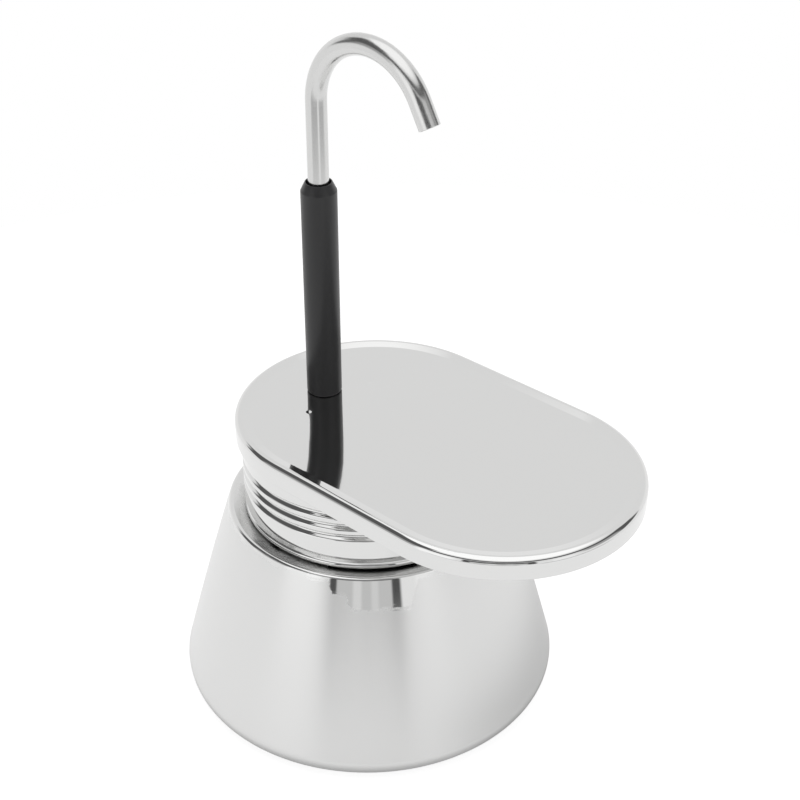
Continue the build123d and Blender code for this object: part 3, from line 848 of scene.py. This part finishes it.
# Windows of the sky, painted in this order: radiance, azimuths from the camera's side and
# positive to its right, elevations, softness of the edges, all in degrees, and whether the
# azimuths count to both sides
TENT_RADIANCE = 1.0
SKY_WINDOWS = (
    (0.915, (-200, 200), (20, 50), 8, False),     # tent wall
    (0.45, (63, 95), (12, 34), 6, True),          # its dim sides
    (0.12, (96, 112), (10, 30), 5, True),         # gaps behind them
    (1.35, (-200, 200), (60, 100), 10, False),    # bright ceiling
    (1.25, (-58, -36), (-18, 18), 6, False),      # bright panel on the left
    (1.12, (38, 50), (-18, 18), 4, False),        # bright panel on the right
    (0.55, (-50, 78), (-60, -16), 8, False),      # table's front edge
    (1.1, (14, 26), (-60, -16), 4, False),        # light on it
    (0.12, (-115, 115), (31, 43), 3, False),      # dark seam of the tent
    (0.12, (-125, -62), (28, 56), 3, False),      # dark opening on the left
    (0.1, (-26, 23), (-7, 24), 2, False),         # opening for the camera
    (0.68, (-21, 17), (-8, 8), 1.5, False),       # what stands behind the camera
    (0.85, (-9, -5), (-8, 8), 2, False),
    (0.8, (4, 7), (-8, 8), 2, False),
)


def make_camera():
    a, e = CAMERA_AZIMUTH, CAMERA_ELEVATION
    right = Vector((math.cos(a), math.sin(a), 0))
    back = Vector((math.sin(a) * math.cos(e), -math.cos(a) * math.cos(e), math.sin(e)))
    up = back.cross(right)
    place = Matrix((right, up, back)).transposed().to_4x4()
    place.translation = Vector(CAMERA_PLACE)
    data = bpy.data.cameras.new("camera")
    data.sensor_width = SENSOR_WIDTH
    data.lens = CAMERA_LENS
    data.clip_start = 0.01
    camera = bpy.data.objects.new("camera", data)
    camera.matrix_world = place
    bpy.context.scene.collection.objects.link(camera)
    bpy.context.scene.camera = camera


def floor_glow(tree):
    """Emission of the floor: even to the camera; in reflections, painted shadow dims it close to
    the pot.
    """
    x, y, _ = place_parts(tree)
    aside = along(tree, x, y, math.cos(CAMERA_AZIMUTH), math.sin(CAMERA_AZIMUTH))
    radius = from_axis(tree, x, y)
    # Painted shadow: in reflections the floor's glow is darkened near the pot on the camera's
    # right and in a ring at the pot's foot
    near = ranged(tree, radius, 0.056, 0.096, 1.0, 0.0)
    right_painted_shadow = ranged(tree, aside, 0.02, 0.05, 0.0, FLOOR_RIGHT_PAINTED_SHADOW)
    contact_painted_shadow = ranged(tree, radius, 0.041, 0.046, FLOOR_CONTACT_PAINTED_SHADOW, 0.0)
    mirrored = arithmetic(
        tree, "SUBTRACT", FLOOR_GLOW_MIRRORED, arithmetic(tree, "MULTIPLY", near, right_painted_shadow)
    )
    mirrored = arithmetic(tree, "SUBTRACT", mirrored, contact_painted_shadow)
    rays = tree.nodes.new("ShaderNodeLightPath")
    glow = tree.nodes.new("ShaderNodeMix")
    glow.data_type = "FLOAT"
    tree.links.new(rays.outputs["Is Camera Ray"], glow.inputs["Factor"])
    tree.links.new(arithmetic(tree, "MAXIMUM", mirrored, 0), glow.inputs["A"])
    glow.inputs["B"].default_value = FLOOR_GLOW_SEEN
    return glow.outputs["Result"]


def make_floor():
    """White table top: a disc, with the world's white round it."""
    mesh = bmesh.new()
    bmesh.ops.create_circle(mesh, cap_ends=True, segments=128, radius=FLOOR_RADIUS)
    bmesh.ops.translate(mesh, verts=mesh.verts, vec=(0, 0, -FLOOR_DROP))
    floor = finished("floor", mesh)
    material, tree, shader = new_material("pale_floor")
    shader.inputs["Base Color"].default_value = (FLOOR_GREY, FLOOR_GREY, FLOOR_GREY, 1)
    shader.inputs["Emission Color"].default_value = (1, 1, 1, 1)
    tree.links.new(floor_glow(tree), shader.inputs["Emission Strength"])
    shader.inputs["Roughness"].default_value = 0.9
    shader.inputs["Specular IOR Level"].default_value = 0.1
    floor.data.materials.append(material)


class Sky:
    """Radiance by direction: azimuth in degrees from the camera's side, positive to its right."""

    def __init__(self, tree, level):
        self.tree = tree
        self.level = level
        x, y, z = place_parts(tree, "Generated")
        sine, cosine = math.sin(CAMERA_AZIMUTH), math.cos(CAMERA_AZIMUTH)
        towards = along(tree, x, y, sine, -cosine)
        aside = along(tree, x, y, cosine, sine)
        turn = arithmetic(tree, "ARCTAN2", aside, towards)
        self.azimuth = self.times(turn, math.degrees(1))
        self.off_axis = arithmetic(tree, "ABSOLUTE", self.azimuth, 0)
        self.elevation = self.times(arithmetic(tree, "ARCSINE", z, 0), math.degrees(1))

    def times(self, first, second):
        return arithmetic(self.tree, "MULTIPLY", first, second)

    def within(self, value, low, high, soft):
        """Mask that is 1 between low and high and fades out over a soft edge on each side."""
        rise = ranged(self.tree, value, low - soft, low, 0, 1)
        fall = ranged(self.tree, value, high, high + soft, 1, 0)
        return self.times(rise, fall)

    def paint(self, radiance, azimuths, elevations, soft, both_sides):
        """Sets the radiance of a window of directions, with soft edges."""
        around = self.off_axis if both_sides else self.azimuth
        mask = self.times(
            self.within(around, *azimuths, soft), self.within(self.elevation, *elevations, soft)
        )
        change = arithmetic(self.tree, "SUBTRACT", radiance, self.level)
        self.level = arithmetic(self.tree, "ADD", self.level, self.times(change, mask))


def make_world():
    """White tent whose windows show in the steel. The camera itself sees plain white."""
    world = bpy.data.worlds.new("studio")
    bpy.context.scene.world = world
    world.use_nodes = True
    tree = world.node_tree
    sky = Sky(tree, TENT_RADIANCE)
    for window in SKY_WINDOWS:
        sky.paint(*window)
    rays = tree.nodes.new("ShaderNodeLightPath")
    seen = tree.nodes.new("ShaderNodeMix")
    seen.data_type = "FLOAT"
    tree.links.new(rays.outputs["Is Camera Ray"], seen.inputs["Factor"])
    tree.links.new(sky.level, seen.inputs["A"])
    seen.inputs["B"].default_value = TENT_RADIANCE
    background = tree.nodes["Background"]
    tree.links.new(seen.outputs["Result"], background.inputs["Strength"])
    background.inputs["Color"].default_value = (1, 1, 1, 1)


def make_lamp():
    """Large soft lamp overhead that lifts the floor, not seen in the steel."""
    data = bpy.data.lights.new("overhead", "AREA")
    data.size = LAMP_SIZE
    data.energy = LAMP_POWER
    lamp = bpy.data.objects.new("overhead", data)
    lamp.location = LAMP_PLACE
    lamp.visible_glossy = False
    bpy.context.scene.collection.objects.link(lamp)


make_camera()
make_floor()
make_world()
make_lamp()
bpy.context.scene.view_settings.view_transform = "Standard"
bpy.context.scene.view_settings.look = "None"
